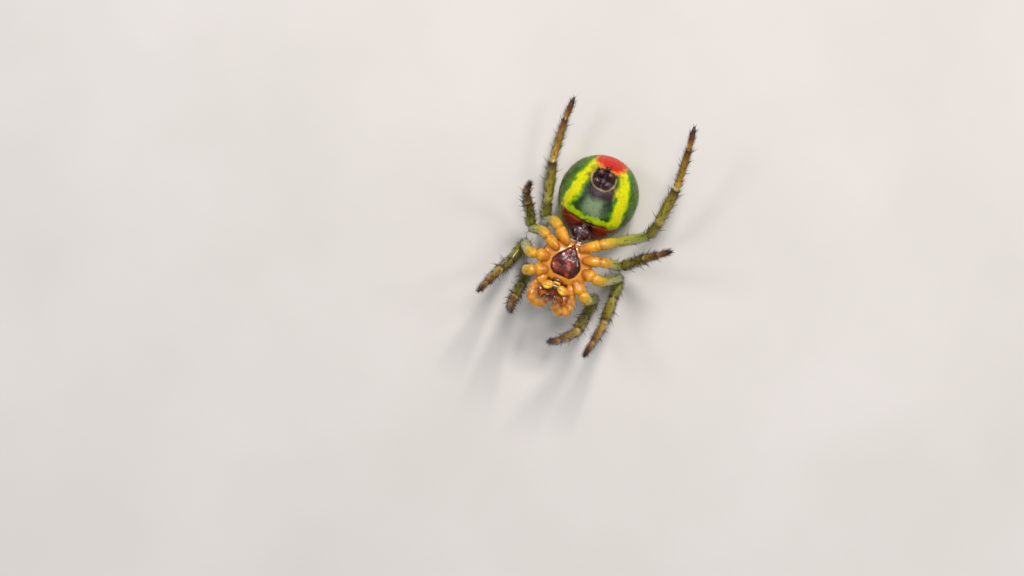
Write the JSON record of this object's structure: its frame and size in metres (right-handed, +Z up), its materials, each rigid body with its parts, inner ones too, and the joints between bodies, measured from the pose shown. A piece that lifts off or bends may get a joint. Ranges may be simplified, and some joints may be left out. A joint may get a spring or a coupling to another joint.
{
  "type": "cucumber green spider",
  "caption": "Small orb-weaving spider lying belly up with its legs drawn in, as a still life-size model.",
  "frame": {"origin": "centre of the box's base, on the surface that the spider rests on", "axes": "+Z up, out of the belly; +Y from the head to the rear end of the abdomen; +X to the spider's own right"},
  "size_m": [0.0072, 0.0114, 0.0062],
  "materials": {
    "abdomen": "satin green skin with two yellow bands",
    "carapace": "glossy orange-brown horny shield",
    "plate": "glossy dark maroon horny plate",
    "amber": "glossy translucent amber",
    "leg": "satin olive green with fine hairs",
    "foot": "satin amber brown with dark tips",
    "jaw": "glossy red-brown",
    "fang": "glossy black",
    "eye": "polished black",
    "spinneret": "satin dark purple-brown"
  },
  "bodies": {
    "root": {"abdomen": "abdomen", "carapace": "carapace", "sternum": "plate", "labium": "plate", "pedicel": "plate", "endite_left": "amber", "endite_right": "amber", "chelicera_left": "jaw", "chelicera_right": "jaw", "fang_left": "fang", "fang_right": "fang", "palp_left_femur": "amber", "palp_left_tip": "amber", "palp_right_femur": "amber", "palp_right_tip": "amber", "eye_front_middle_left": "eye", "eye_front_middle_right": "eye", "eye_rear_middle_left": "eye", "eye_rear_middle_right": "eye", "eye_front_side_left": "eye", "eye_front_side_right": "eye", "eye_rear_side_left": "eye", "eye_rear_side_right": "eye", "spinneret_front_left": "spinneret", "spinneret_front_right": "spinneret", "spinneret_rear_left": "spinneret", "spinneret_rear_right": "spinneret", "anal_tubercle": "spinneret", "leg_left_1_coxa": "amber", "leg_left_1_femur": "leg", "leg_left_1_tibia": "leg", "leg_left_1_foot": "foot", "leg_left_2_coxa": "amber", "leg_left_2_femur": "leg", "leg_left_2_tibia": "leg", "leg_left_2_foot": "foot", "leg_left_3_coxa": "amber", "leg_left_3_femur": "leg", "leg_left_3_tibia": "leg", "leg_left_3_foot": "foot", "leg_left_4_coxa": "amber", "leg_left_4_femur": "leg", "leg_left_4_tibia": "leg", "leg_left_4_foot": "foot", "leg_right_1_coxa": "amber", "leg_right_1_femur": "leg", "leg_right_1_tibia": "leg", "leg_right_1_foot": "foot", "leg_right_2_coxa": "amber", "leg_right_2_femur": "leg", "leg_right_2_tibia": "leg", "leg_right_2_foot": "foot", "leg_right_3_coxa": "amber", "leg_right_3_femur": "leg", "leg_right_3_tibia": "leg", "leg_right_3_foot": "foot", "leg_right_4_coxa": "amber", "leg_right_4_femur": "leg", "leg_right_4_tibia": "leg", "leg_right_4_foot": "foot"}
  },
  "joints": []
}
